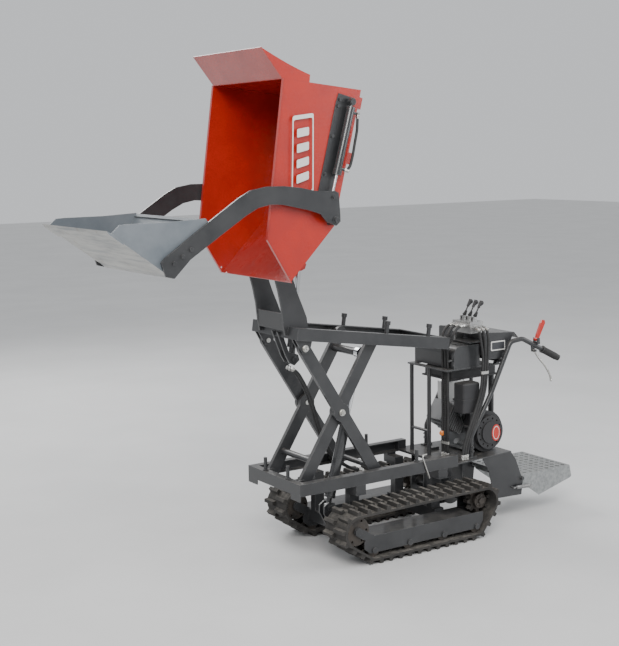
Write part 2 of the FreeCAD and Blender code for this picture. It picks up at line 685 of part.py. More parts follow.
# ---- shovel cylinders, arms and shovel ----
def build_brackets():
    """Bolted side plates that carry the cylinders and the shovel arm pivots."""
    y0 = SKIP_W + 0.35
    shapes = []
    top = to_skip(RAM_TOP)
    piv = to_skip(ARM_PIVOT)
    strap = plate([(top[0] - 24, top[1] + 66), (top[0] - 24, top[1] - 24), (top[0] + 22, top[1] - 24),
                   (top[0] + 60, 62), (SKIP_FLOOR - 70, 40), (piv[0] - 26, piv[1] - 24),
                   (piv[0] + 22, piv[1] - 22), (piv[0] + 28, piv[1] + 10), (piv[0] - 60, 128), (top[0] + 20, 128)],
                  y0, y0 + 5)
    boss = cyl_y(piv[0], piv[1], 26.0, y0 + 4.5, SHOVEL_ARM_Y[0] - GAP)
    pin = cyl_y(piv[0], piv[1], 12.0, y0, SHOVEL_ARM_Y[1] + 0.5)
    cap = cyl_y(piv[0], piv[1], 19.0, SHOVEL_ARM_Y[1] + 0.5, SHOVEL_ARM_Y[1] + 4)
    head = cyl_y(piv[0], piv[1], 13.0, SHOVEL_ARM_Y[1] + 3.5, SHOVEL_ARM_Y[1] + 11)
    ram_pin = cyl_y(top[0], top[1], 9.0, y0, RAM_Y + 11)
    ram_cap = cyl_y(top[0], top[1], 14.0, RAM_Y + 8 + GAP, RAM_Y + 14)
    bolts = []
    for bx, bz in ((top[0] + 2, top[1] + 52), (top[0] + 34, 112), (250.0, 112.0), (430.0, 112.0)):
        bolts.append(cyl_y(bx, bz, 8.0, y0 + 4.5, y0 + 12))
    side = joined([strap, boss, pin, cap, head, ram_pin, ram_cap] + bolts)
    side = tilted(side, SKIP_TILT, SKIP_ORIGIN)
    return group(both(side))


def build_ram():
    return cylinder_parts(RAM_TOP, ARM_CRANK, RAM_Y, 19.5, 7.5, 350.0, 250.0,
                          (18.0, 9.0 + FIT), (17.0, 9.5), 8.0, -1.0, 26.0)


ARM_OUTLINE_TOP = ((700, 1851), (766, 1856), (843, 1872), (935, 1882), (1025, 1882), (1108, 1868), (1171, 1836),
                   (1295, 1756), (1416, 1677), (1545, 1590))
ARM_OUTLINE_LOW = ((1500, 1500), (1419, 1578), (1277, 1668), (1132, 1758), (1069, 1789), (1005, 1801), (935, 1797),
                   (801, 1768), (735, 1748), (700, 1708))


def build_shovel_arms():
    y0, y1 = SHOVEL_ARM_Y
    px, pz = ARM_PIVOT
    cx, cz = ARM_CRANK
    outline = list(ARM_OUTLINE_TOP) + [(1562, 1572), (1540, 1510)] + list(ARM_OUTLINE_LOW)
    outline += [(px + 20, pz - 18), (px, pz - 27)] + [(px - 24, pz - 8), (px - 24, pz + 22), (cx - 30, cz - 8),
                                                      (cx - 28, cz + 18), (cx - 8, cz + 28)]
    arm = plate(outline, y0, y1)
    arm = arm.cut(cyl_y(px, pz, 12.0 + FIT, y0 - 1, y1 + 1))
    pin = cyl_y(cx, cz, 12.0, y1 - 0.2, y1 + 3)
    head = plate([(cx + 10.5 * math.cos(math.radians(60 * i)), cz + 10.5 * math.sin(math.radians(60 * i)))
                  for i in range(6)], y1 + 2.5, y1 + 10)
    arm = joined([arm, pin, head])
    bolts = []
    for sx, sz in SHOVEL_BOLTS:
        x, z = from_shovel((sx, sz))
        bolts.append(cyl_y(x, z, 9.0, y1 - 0.2, y1 + 7))
    return group(both(joined([arm] + bolts)))


SHOVEL_BOLTS = ((5.0, 150.0), (22.0, 102.0), (40.0, 56.0))


def from_shovel(p):
    c, s = math.cos(math.radians(SHOVEL_TILT)), math.sin(math.radians(SHOVEL_TILT))
    return (SHOVEL_ORIGIN[0] + p[0] * c - p[1] * s, SHOVEL_ORIGIN[1] + p[0] * s + p[1] * c)


def build_shovel():
    w = SHOVEL_W
    t = 5.0
    pan = plate(strip([(0.0, SHOVEL_BACK), (0.0, 0.0), (SHOVEL_FLOOR, 0.0)], -t), -w, w)
    side = plate([(0.0, 0.0), (SHOVEL_FLOOR, 0.0), (SHOVEL_FLOOR - 12, 55.0), (SHOVEL_FLOOR - 40, 78.0),
                  (150.0, 196.0), (14.0, SHOVEL_BACK + 5), (0.0, SHOVEL_BACK)], w - t, w)
    blade = plate([(SHOVEL_FLOOR - 70, -6.0), (SHOVEL_FLOOR + 8, -6.0), (SHOVEL_FLOOR + 26, 0.0),
                   (SHOVEL_FLOOR - 10, 5.4), (SHOVEL_FLOOR - 70, 0.5)], -w - 8, w + 8)
    lip = plate([(-t, SHOVEL_BACK - 14), (14, SHOVEL_BACK - 14), (14, SHOVEL_BACK), (-t, SHOVEL_BACK)], -w, w)
    body = joined([pan, side, mirror(side), blade, lip])
    return tilted(body, -SHOVEL_TILT, SHOVEL_ORIGIN)


# ---- engine ----
CRANK = (-490.0, 505.0)


def build_engine_block():
    x, z = CRANK
    parts = [box(x - 100, x + 95, -100, 96, 404.4, 590),
             box(x - 112, x + 108, -96, 92, 404.4, 414),
             cyl_y(x, z, 26.0, -128, -99),
             cyl_y(x, z, 13.0, -150, -127)]
    # inclined cylinder with cooling fins, pointing forward and up
    axis = math.radians(32.0)
    ux, uz = math.cos(axis), math.sin(axis)
    base = (x + 85.0, 545.0)
    for i in range(9):
        d = 14.0 + i * 15.0
        a = (base[0] + ux * d, base[1] + uz * d)
        b = (base[0] + ux * (d + 5.0), base[1] + uz * (d + 5.0))
        nx, nz = -uz * 68.0, ux * 68.0
        parts.append(plate([(a[0] + nx, a[1] + nz), (b[0] + nx, b[1] + nz), (b[0] - nx, b[1] - nz),
                            (a[0] - nx, a[1] - nz)], -72, 72))
    core0 = (base[0] - ux * 20, base[1] - uz * 20)
    core1 = (base[0] + ux * 145, base[1] + uz * 145)
    parts.append(bar_box(core0, core1, 96.0, -52, 52))
    cover0 = (base[0] + ux * 144, base[1] + uz * 144)
    cover1 = (base[0] + ux * 174, base[1] + uz * 174)
    parts.append(bar_box(cover0, cover1, 112.0, -58, 58))
    parts.append(cyl((x + 96, 40, 432), (x + 122, 40, 447), 13.0))
    parts.append(cyl((x + 120, 40, 446), (x + 132, 40, 453), 17.0))
    # carburettor between the air cleaner and the head
    parts.append(box(x + 98, x + 150, 50, 96, 600, 640))
    parts.append(box(x + 100, x + 148, 70, 108, 618.5, 640))
    return joined(parts)


def bar_box(p, q, width, y0, y1):
    dx, dz = q[0] - p[0], q[1] - p[1]
    length = math.hypot(dx, dz)
    nx, nz = -dz / length * width / 2, dx / length * width / 2
    return plate([(p[0] + nx, p[1] + nz), (q[0] + nx, q[1] + nz), (q[0] - nx, q[1] - nz), (p[0] - nx, p[1] - nz)], y0, y1)


def build_recoil():
    """Fan shroud and recoil starter on the machine's left."""
    x, z = CRANK
    shroud = joined([cyl_y(x, z, 112.0, 96.4, 140), box(x - 20, x + 118, 96.4, 138, z + 10, z + 112)])
    dome = cyl_y(x, z, 92.0, 139, 168)
    dome = dome.fuse(cyl_y(x, z, 60.0, 167, 176))
    slots = []
    for k in range(14):
        a = math.radians(360.0 / 14 * k)
        slots.append(cyl_y(x + 76 * math.cos(a), z + 76 * math.sin(a), 5.5, 150, 170))
    body = joined([shroud, dome]).cut(slots)
    handle = joined([cyl((x + 96, 132, z + 34), (x + 140, 132, z + 44), 5.0),
                     cyl((x + 136, 116, z + 43), (x + 136, 150, z + 43), 8.0)])
    return body.fuse(handle).removeSplitter()


def build_air_cleaner():
    x, z = CRANK
    shell = box(x + 96, x + 214, 112, 196, 640, 800)
    edges = [e for e in shell.Edges if abs(e.Vertexes[0].Z - e.Vertexes[-1].Z) > 1 or e.Vertexes[0].Z > 790]
    shell = shell.makeFillet(12.0, edges)
    neck = box(x + 100, x + 148, 108.4, 113, 618.5, 700)
    band = box(x + 94, x + 216, 110, 198, 700, 712)
    return joined([shell, neck, band])


def build_fuel_tank():
    body = box(-590, -270, -130, 104, 812, 866)
    body = body.makeFillet(16.0, [e for e in body.Edges if e.Vertexes[0].Z > 860 or
                                  abs(e.Vertexes[0].Z - e.Vertexes[-1].Z) > 1])
    flange = box(-598, -262, -138, 110, 806, 814)
    neck = Part.makeCylinder(24.0, 10.0, V(-480, -10, 864))
    neck = neck.cut(Part.makeCylinder(18.0, 20.0, V(-480, -10, 860)))
    legs = [box(-585, -570, -99, -84, 590.2, 807), box(-405, -390, -99, -84, 590.2, 807),
            box(-585, -570, 60, 90, 590.2, 807)]
    return joined([flange, body, neck] + legs)


def build_fuel_cap():
    cap = Part.makeCylinder(30.0, 14.0, V(-480, -10, 874.4))
    plug = Part.makeCylinder(18.0 - FIT, 9.0, V(-480, -10, 866.3))
    ribs = []
    for k in range(10):
        a = math.radians(36 * k)
        ribs.append(Part.makeCylinder(3.5, 12.0, V(-480 + 29.5 * math.cos(a), -10 + 29.5 * math.sin(a), 875)))
    return joined([cap, plug] + ribs)


def build_muffler():
    """Silencer on the machine's right, above the crankcase."""
    x, z = CRANK
    can = box(x - 60, x + 80, -196, -104, 620, 760)
    can = can.makeFillet(20.0, can.Edges)
    outlet = cyl((x - 40, -150, 700), (x - 88, -150, 700), 11.0)
    stay = box(x - 40, x - 20, -112, -100.4, 560, 630)
    return joined([can, outlet, stay])


def build_hydraulic_tank():
    front, rear, z0, z1 = -236.0, -414.0, 880.4, 1000.0
    pts = [(rear, z0), (front, z0), (front, z1 - 46)] + arc_points(front - 46, z1 - 46, 46, 0, 90, 6)[1:] + [(rear, z1)]
    tank = plate(pts, -166, 166)
    lid = box(rear + 12, front - 50, -140, 140, z1 - 0.5, z1 + 5)
    extra = []
    for x in (rear + 22, front - 60):
        for y in (-128, -64, 0, 64, 128):
            extra.append(Part.makeCylinder(5.0, 5.0, V(x, y, z1 + 4)))
    filler = Part.makeCylinder(22.0, 16.0, V(rear + 70, -60, z1 + 4))
    tap = cyl((front - 1, 152, 925), (front + 22, 152, 925), 7.0)
    return joined([tank, lid, filler, tap] + extra)


def build_pump():
    """Gear pump on the engine's output shaft side."""
    x, z = CRANK
    body = box(x - 45, x + 45, -200, -160, z - 45, z + 45)
    bell = cyl_y(x, z, 50.0, -160.5, -152)
    body2 = box(x - 40, x + 40, -232, -199, z - 40, z + 40)
    ports = [cyl((x, -216, z + 38), (x, -216, z + 60), 10.0), cyl((x, -180, z + 44), (x, -180, z + 60), 10.0)]
    foot = box(x - 40, x + 40, -176, -164, 390.4, z - 40)
    return joined([body, bell, body2, foot] + ports)


def build_transmission():
    """Gearbox under the deck with the axle shafts to both sprockets."""
    x, z = SPROCKET[0], SPROCKET[1]
    case = box(x - 90, x + 80, -75, 75, z - 60, 340)
    case = case.makeFillet(14.0, [e for e in case.Edges if abs(e.Vertexes[0].Z - e.Vertexes[-1].Z) > 1])
    parts = [case, cyl_y(x, z, 70.0, -82, 82)]
    parts += [cyl_y(x, z, 30.0, 80, 205), cyl_y(x, z, 30.0, -205, -80)]
    parts.append(cyl_y(x, z, 16.0, -TRACK_Y - 28, TRACK_Y + 28))
    parts += [box(x - 60, x + 50, -60, 60, 339, 383.6)]
    parts += both(plate([(x - 34, 150), (x - 34, 232), (x + 60, 232), (x + 60, 90), (x + 7, 90)], 196, 205))
    return joined(parts)


# ---- controls ----
VALVE_X = -385.0
VALVE_Z = 1062.0
LEVER_Y = (64.0, 107.0, 150.0)
SIDE_PORT_Z = VALVE_Z + 30.0


def side_port(y):
    """x of the valve section's port on the machine's left face."""
    return VALVE_X + (107.0 - y) * 28.0 / 43.0


def build_valve():
    parts = [box(VALVE_X - 42, VALVE_X + 48, 34, 178, VALVE_Z, VALVE_Z + 62)]
    for y in LEVER_Y:
        parts.append(cyl((VALVE_X + 40, y, VALVE_Z + 44), (VALVE_X + 66, y, VALVE_Z + 44), 10.0))
        side_x = side_port(y)
        parts.append(cyl((side_x, 177, SIDE_PORT_Z), (side_x, 196, SIDE_PORT_Z), 10.0))
        parts.append(joined([box(VALVE_X - 12, VALVE_X + 12, y - 12, y - 6, VALVE_Z + 60, VALVE_Z + 84),
                             box(VALVE_X - 12, VALVE_X + 12, y + 6, y + 12, VALVE_Z + 60, VALVE_Z + 84)]))
        parts.append(cyl_y(VALVE_X, VALVE_Z + 74, 4.0, y - 14, y + 14))
    parts += [box(VALVE_X - 30, VALVE_X + 30, 22, 34.5, 1017.2, VALVE_Z + 40)]
    return joined(parts)


def build_lever(y):
    z0 = VALVE_Z + 74
    boss = cyl_y(VALVE_X, z0, 9.0, y - 5.4, y + 5.4)
    rod = cyl((VALVE_X, y, z0), (VALVE_X - 36, y, z0 + 62), 4.0)
    knob = cyl((VALVE_X - 33, y, z0 + 57), (VALVE_X - 52, y, z0 + 92), 8.0)
    return joined([boss, rod, knob]).cut(cyl_y(VALVE_X, z0, 4.0 + FIT, y - 9, y + 9))


BAR_R = 13.0
SAFETY_PIVOT = (-742.0, 1004.0)
STEER_PIVOT = (-722.0, 944.0)


def build_handlebar():
    """Bent tube frame from the deck to both grips, with a cross bar."""
    path = [(-335, 190, 390.4), (-335, 190, 505), (-470, 200, 735), (-590, 215, 1000), (-660, 232, 1012), (-872, 285, 894)]
    side = bent_tube(path, BAR_R, 42.0)
    foot = box(-365, -305, 176, 204, 390.4, 398)
    cross = cyl_y(-545, 900, 11.0, -208, 208)
    levers = [box(-752, -734, 238, 274, 978, 990), cyl_y(SAFETY_PIVOT[0], SAFETY_PIVOT[1], 5.0, 239, 273),
              plate([(-735, 972), (-705, 984), (-712, 938), (-732, 938)], 247, 253.5),
              cyl_y(STEER_PIVOT[0], STEER_PIVOT[1], 4.0, 248, 273),
              cyl_y(STEER_PIVOT[0], STEER_PIVOT[1], 7.0, 269.8, 273)]
    for y0 in (238.0, 268.5):
        levers.append(plate([(-752, 958 if y0 < 250 else 980), (-734, 966 if y0 < 250 else 980), (-734, 1012),
                             (-750, 1012)], y0, y0 + 5.5))
    bolts = []
    for z in (430, 452):
        bolts.append(cyl_y(-335, z, 7.0, 200, 210))
    grip_side = joined(levers[:2] + levers[5:])
    steer = levers[2:5]
    return joined([side, mirror(side), foot, mirror(foot), cross, grip_side] + steer + [mirror(b) for b in steer + bolts]
                  + bolts)


CONSOLE_Y = 190.0       # outer face of the console's side plates


def build_console():
    """Sloping panel between the handlebar tubes, with the shelf that carries the valve."""
    w = CONSOLE_Y
    side = plate([(-430, 1056), (-430, 938), (-470, 912), (-556, 912), (-580, 926), (-600, 972), (-636, 1044)], w - 4, w)
    parts = [plate([(-432, 1054), (-428, 1060), (-640, 1046), (-668, 1016), (-664, 1012), (-638, 1040)], -w, w),
             box(-432, -330, 20, 180, 1011, 1017), box(-432, -426, -w, w, 938, 1056), side, mirror(side)]
    parts += both(cyl_y(-567, 950, 7.0, w - 1, w + 8))
    return joined(parts)


def build_grips():
    d = (-872 + 660, 285 - 232, 894 - 1012)
    n = math.sqrt(sum(v * v for v in d))
    u = [v / n for v in d]
    end = (-872, 285, 894)
    a = tuple(end[i] - u[i] * 112 for i in range(3))
    b = tuple(end[i] + u[i] * 6 for i in range(3))
    grip = cyl(a, b, 17.0)
    collar = cyl(a, tuple(a[i] + u[i] * 8 for i in range(3)), 21.0)
    hole = cyl(tuple(a[i] - u[i] for i in range(3)), end, BAR_R + FIT)
    g = joined([grip, collar]).cut(hole)
    return group(both(g))


def build_safety_lever():
    """Red dead-man lever above the left grip."""
    parts = [cyl_y(SAFETY_PIVOT[0], SAFETY_PIVOT[1], 10.0, 244, 268),
             plate([(-734, 1004), (-748, 998), (-762, 1020), (-800, 1088), (-796, 1104), (-780, 1108),
                    (-768, 1090), (-740, 1030)], 250, 262)]
    return joined(parts).cut(cyl_y(SAFETY_PIVOT[0], SAFETY_PIVOT[1], 5.0 + FIT, 240, 275))


def build_steering_lever():
    blade = bent_tube([(-722, 262, 942), (-748, 270, 900), (-786, 280, 856), (-812, 286, 812), (-824, 288, 776)], 6.0)
    boss = cyl_y(STEER_PIVOT[0], STEER_PIVOT[1], 11.0, 254, 268)
    ball = Part.makeSphere(8.5, V(-824, 288, 774))
    return joined([blade, boss, ball]).cut(cyl_y(STEER_PIVOT[0], STEER_PIVOT[1], 4.0 + FIT, 250, 275))


# ---- step ----
STEP_HINGE = (-690.0, 225.0)


def build_step():
    w = 196.0
    top = box(-1068, -668, -w, w, 234, 239)
    cells = []
    for i in range(9):
        for j in range(9):
            x = -1040 + i * 42
            y = -168 + j * 42
            cells.append(slab([(x - 15, y), (x, y - 15), (x + 15, y), (x, y + 15)], 230, 243))
    top = top.cut(cells)
    flange = plate([(-668, 239), (-1068, 239), (-1084, 172), (-1070, 164), (-832, 104), (-706, 190)], w - 5, w)
    rear = plate([(-1068, 239), (-1084, 172), (-1080, 171), (-1064, 237)], -w, w)
    front = box(-712, -706, -w, w, 192, 236)
    return joined([top, flange, mirror(flange), rear, front] + [cyl_y(STEP_HINGE[0], STEP_HINGE[1], 15.0, w - 6, w),
                  cyl_y(STEP_HINGE[0], STEP_HINGE[1], 15.0, -w, -w + 6)]).cut(
                      cyl_y(STEP_HINGE[0], STEP_HINGE[1], 8.0 + FIT, -300, 300))


def build_step_spring():
    """Return spring beside the step, as close-wound coils between two hooks."""
    x0, x1, y, z = -745.0, -620.0, 222.0, 178.0
    parts = [cyl((x0, y, z), (x1, y, z + 8), 2.5)]
    for i in range(14):
        x = x0 + 18 + i * 6.6
        parts.append(Part.makeTorus(8.0, 2.6, V(x, y, z + 8 * (x - x0) / (x1 - x0)), V(1, 0, 0.06)))
    parts.append(cyl((x0 + 14, y, z + 1), (x0 + 110, y, z + 7), 6.2))
    parts.append(cyl_y(x0, z, 5.0, 196.2, y + 6))
    parts.append(cyl_y(x1, z + 8, 5.0, 205.2, y + 6))
    return joined(parts)


# ---- hoses ----
def build_scissor_hoses():
    """Two pressure hoses that climb the scissor's middle to the tip cylinder."""
    parts = []
    for dy in (-12.0, 12.0):
        pts = [(240, dy - 20, 372), (330, dy - 16, 400), (424, dy - 8, 470), (488, dy, 560), (528, dy, 660),
               (558, dy, 765), (600, dy, 865), (652, dy + 4, 945), (700, dy + 8, 972)]
        parts.append(bent_tube(pts, 8.0))
    return parts


def build_valve_hoses():
    """One hose per valve section in front of the tank, and one down the left side ahead of the handlebar tube."""
    parts = []
    for k, y in enumerate(LEVER_Y):
        z = VALVE_Z + 44
        low = 84.0 + 22 * k
        front = [(VALVE_X + 67.5, y, z), (VALVE_X + 112, y + 2, z - 6), (-240, y + 6, z - 40), (-227, low - 4, z - 104),
                 (-228, low, 880), (-226, low - 2, 760), (-229, low, 640), (-226, low - 2, 520), (-228, low, 391)]
        parts.append(bent_tube(front, 7.0))
        x = side_port(y)
        dx = 16.0 * (2 - k)
        side = [(x, 200.5, SIDE_PORT_Z), (x - 6, 219 - k, SIDE_PORT_Z - 8), (x - 16, 221, SIDE_PORT_Z - 62),
                (-428 + dx, 216, 940), (-424 + dx, 214, 850), (-414 + dx, 214, 752), (-376 + dx, 214, 652),
                (-332 + dx, 213, 556), (-300 + dx, 209, 468), (-292 + dx, 207, 391)]
        parts.append(bent_tube(side, 7.0))
    return parts


def build_ram_hoses():
    """Hose beside each shovel cylinder, from its lower port back to the bracket."""
    length = math.hypot(ARM_CRANK[0] - RAM_TOP[0], ARM_CRANK[1] - RAM_TOP[1])
    ux, uz = (ARM_CRANK[0] - RAM_TOP[0]) / length, (ARM_CRANK[1] - RAM_TOP[1]) / length

    def at(d, off):
        return (RAM_TOP[0] + ux * d + uz * off, RAM_Y, RAM_TOP[1] + uz * d - ux * off)
    pts = [at(316, 35), at(316, 52), at(292, 66), at(240, 68), at(180, 64), at(120, 62), at(76, 52), at(40, 46)]
    hose = bent_tube(pts, 6.5)
    return group(both(hose))


def main():
    os.makedirs("parts", exist_ok=True)
    belt = build_belt()
    idler = build_idler()
    sprocket = build_sprocket()
    for name, side in (("left", 1), ("right", -1)):
        for label, shape in (("track_belt", belt), ("idler", idler), ("sprocket", sprocket)):
            s = shape.copy() if side > 0 else mirror(shape)
            s.translate(V(0, side * TRACK_Y, 0))
            export("%s_%s" % (label, name), s)
        for i in range(len(ROLLER_X)):
            r = build_rollers(i)
            r.translate(V(0, side * TRACK_Y, 0))
            export("track_roller_%s_%d" % (name, i + 1), r)
    export("undercarriage", build_undercarriage())
    export("lower_frame", build_lower_frame())
    export("transmission", build_transmission())
    export("scissor_arms_inner", build_inner_arms())
    export("scissor_arms_outer", build_outer_arms())
    export("scissor_rollers_lower", build_rollers_lower())
    export("scissor_rollers_upper", build_rollers_upper())
    export("pivot_bolts_lower", build_bolts_lower())
    export("pivot_bolts_centre", build_bolts_centre())
    export("pivot_bolts_upper", build_bolts_upper())
    barrel, rod = build_lift()
    export("lift_cylinder_barrel", barrel)
    export("lift_cylinder_rod", rod)
    export("upper_frame", build_upper_frame())
    barrel, rod = cylinder_parts(TIP_FOOT, TIP_HEAD, TIP_Y, 26.0, 13.0, 276.0, 232.0,
                                 (24.0, 13.0 + FIT), (20.0, 12.0), 17.0, 1.0, 58.0)
    export("tip_cylinder_barrel", barrel)
    export("tip_cylinder_rod", rod)
    export("skip", build_skip())
    export("deflector", build_deflector())
    export("cylinder_brackets", build_brackets())
    barrel, rod = build_ram()
    for name, side in (("left", 1), ("right", -1)):
        export("shovel_cylinder_barrel_%s" % name, barrel if side > 0 else mirror(barrel))
        export("shovel_cylinder_rod_%s" % name, rod if side > 0 else mirror(rod))
    export("shovel_arms", build_shovel_arms())
    export("shovel", build_shovel())
    export("engine_block", build_engine_block())
    export("recoil_starter", build_recoil())
    export("air_cleaner", build_air_cleaner())
    export("fuel_tank", build_fuel_tank())
    export("fuel_cap", build_fuel_cap())
    export("muffler", build_muffler())
    export("hydraulic_tank", build_hydraulic_tank())
    export("hydraulic_pump", build_pump())
    export("valve_block", build_valve())
    for i, y in enumerate(LEVER_Y):
        export("valve_lever_%d" % (i + 1), build_lever(y))
    export("console", build_console())
    export("handlebar", build_handlebar())
    export("hand_grips", build_grips())
    export("safety_lever", build_safety_lever())
    lever = build_steering_lever()
    export("steering_lever_left", lever)
    export("steering_lever_right", mirror(lever))
    export("step_platform", build_step())
    export("step_spring", build_step_spring())
    export("hydraulic_hoses", group(build_scissor_hoses() + build_valve_hoses()))
    export("ram_hoses", build_ram_hoses())


main()
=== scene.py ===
import bmesh
import bpy
import json
import math
from mathutils import Matrix, Vector

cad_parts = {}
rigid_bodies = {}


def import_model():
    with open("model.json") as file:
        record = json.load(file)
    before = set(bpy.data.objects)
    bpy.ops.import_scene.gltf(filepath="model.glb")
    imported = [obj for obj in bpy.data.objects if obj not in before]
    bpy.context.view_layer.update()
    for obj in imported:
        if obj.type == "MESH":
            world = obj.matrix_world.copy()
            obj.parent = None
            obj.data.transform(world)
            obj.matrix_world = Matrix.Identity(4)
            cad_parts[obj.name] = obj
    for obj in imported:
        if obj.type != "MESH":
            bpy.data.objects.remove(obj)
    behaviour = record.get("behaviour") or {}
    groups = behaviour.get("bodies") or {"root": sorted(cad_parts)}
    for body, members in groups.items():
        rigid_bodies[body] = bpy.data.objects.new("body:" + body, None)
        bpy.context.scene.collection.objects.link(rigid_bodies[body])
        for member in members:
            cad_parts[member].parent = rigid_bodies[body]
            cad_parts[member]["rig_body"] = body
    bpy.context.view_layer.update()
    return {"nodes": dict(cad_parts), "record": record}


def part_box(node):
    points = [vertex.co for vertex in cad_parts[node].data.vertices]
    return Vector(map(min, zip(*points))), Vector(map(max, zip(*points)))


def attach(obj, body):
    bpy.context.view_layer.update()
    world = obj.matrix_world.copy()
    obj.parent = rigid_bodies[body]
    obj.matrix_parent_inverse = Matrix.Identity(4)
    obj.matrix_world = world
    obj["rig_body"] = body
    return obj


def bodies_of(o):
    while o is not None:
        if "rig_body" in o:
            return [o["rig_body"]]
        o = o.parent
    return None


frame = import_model()
RECORD = frame["record"]


# ---- materials ----
class Graph:
    """A Principled material with short helpers to add and link nodes."""

    def __init__(self, name):
        self.mat = bpy.data.materials.new(name)
        self.mat.use_nodes = True
        self.tree = self.mat.node_tree
        self.shader = next(n for n in self.tree.nodes if n.type == "BSDF_PRINCIPLED")
        self.coords = self.tree.nodes.new("ShaderNodeTexCoord")
        self.geometry = self.tree.nodes.new("ShaderNodeNewGeometry")

    def node(self, kind, **values):
        n = self.tree.nodes.new(kind)
        for key, value in values.items():
            setattr(n, key, value)
        return n

    def link(self, a, b):
        self.tree.links.new(a, b)

    def feed(self, socket, value):
        if isinstance(value, (int, float)):
            socket.default_value = value
        elif isinstance(value, tuple):
            socket.default_value = value if len(value) != 3 or socket.type != "RGBA" else value + (1.0,)
        else:
            self.link(value, socket)

    def noise(self, scale, detail=4.0, rough=0.55, stretch=(1, 1, 1)):
        mapping = self.node("ShaderNodeMapping")
        mapping.inputs["Scale"].default_value = stretch
        self.link(self.coords.outputs["Object"], mapping.inputs["Vector"])
        n = self.node("ShaderNodeTexNoise")
        n.inputs["Scale"].default_value = scale
        n.inputs["Detail"].default_value = detail
        n.inputs["Roughness"].default_value = rough
        self.link(mapping.outputs["Vector"], n.inputs["Vector"])
        return n.outputs["Fac"]

    def span(self, value, lo, hi, out_lo=0.0, out_hi=1.0):
        n = self.node("ShaderNodeMapRange")
        self.feed(n.inputs["Value"], value)
        for key, v in (("From Min", lo), ("From Max", hi), ("To Min", out_lo), ("To Max", out_hi)):
            n.inputs[key].default_value = v
        return n.outputs["Result"]

    def math(self, op, a, b=0.0):
        n = self.node("ShaderNodeMath", operation=op, use_clamp=op in ("ADD", "MULTIPLY"))
        self.feed(n.inputs[0], a)
        self.feed(n.inputs[1], b)
        return n.outputs[0]

    def mix(self, factor, a, b):
        n = self.node("ShaderNodeMix", data_type="RGBA")
        self.feed(n.inputs["Factor"], factor)
        self.feed(n.inputs["A"] if n.inputs["A"].type == "RGBA" else n.inputs[6], a)
        self.feed(n.inputs["B"] if n.inputs["B"].type == "RGBA" else n.inputs[7], b)
        return n.outputs[2]

    def facing(self, direction):
        """How far the surface faces a fixed direction of the part, from -1 to 1."""
        n = self.node("ShaderNodeVectorMath", operation="DOT_PRODUCT")
        self.link(self.coords.outputs["Normal"], n.inputs[0])
        n.inputs[1].default_value = direction
        return n.outputs["Value"]

    def edges(self, radius=0.004):
        """Mask of convex edges: where a rounded normal leaves the flat one; it places worn paint and painted edge
        highlights.
        """
        bevel = self.node("ShaderNodeBevel", samples=4)
        bevel.inputs["Radius"].default_value = radius
        dot = self.node("ShaderNodeVectorMath", operation="DOT_PRODUCT")
        self.link(bevel.outputs["Normal"], dot.inputs[0])
        self.link(self.geometry.outputs["Normal"], dot.inputs[1])
        return self.span(dot.outputs["Value"], 0.995, 0.86)

    def bump(self, height, strength, distance=0.001):
        n = self.node("ShaderNodeBump")
        n.inputs["Strength"].default_value = strength
        n.inputs["Distance"].default_value = distance
        self.link(height, n.inputs["Height"])
        self.link(n.outputs["Normal"], self.shader.inputs["Normal"])


def finish_of(name, colour, second, rough, metal=0.0, coat=0.0, cloud=7.0, grain=380.0, grain_depth=0.25,
              wear_and_highlight=None, wear_and_highlight_amount=0.6, dust=0.0, stretch=(1, 1, 1), specular=0.5):
    """Base colour clouded with a second one, uneven gloss, fine grain, worn edges that on the dark finishes are also a
    painted edge highlight, and dust on upward faces.
    """
    g = Graph(name)
    cloud_noise = g.noise(cloud, 5.0, 0.6)
    fine = g.noise(grain, 3.0, 0.6, stretch)
    col = g.mix(g.span(cloud_noise, 0.36, 0.66), colour, second)
    rough_out = g.span(g.math("ADD", g.math("MULTIPLY", cloud_noise, 0.6), g.math("MULTIPLY", fine, 0.4)),
                       0.3, 0.7, rough[0], rough[1])
    if dust:
        up = g.span(g.facing((0.0, 0.0, 1.0)), 0.25, 1.0)
        spots = g.span(g.noise(26.0, 6.0, 0.7), 0.35, 0.75)
        mask = g.math("MULTIPLY", g.math("MULTIPLY", up, spots), dust)
        col = g.mix(mask, col, (0.36, 0.33, 0.29))
        rough_out = g.math("ADD", rough_out, g.math("MULTIPLY", mask, 0.35))
    # Colour on convex edges, spotted by noise: worn paint, and on the dark finishes also a painted edge highlight.
    if wear_and_highlight:
        chips = g.span(g.noise(70.0, 6.0, 0.75), 0.42, 0.66)
        mask = g.math("MULTIPLY", g.math("MULTIPLY", g.edges(), chips), wear_and_highlight_amount)
        col = g.mix(mask, col, wear_and_highlight)
    g.link(col, g.shader.inputs["Base Color"])
    g.link(rough_out, g.shader.inputs["Roughness"])
    g.shader.inputs["Metallic"].default_value = metal
    g.shader.inputs["Coat Weight"].default_value = coat
    g.shader.inputs["Coat Roughness"].default_value = 0.08
    g.shader.inputs["Specular IOR Level"].default_value = specular
    g.bump(fine, grain_depth)
    return g


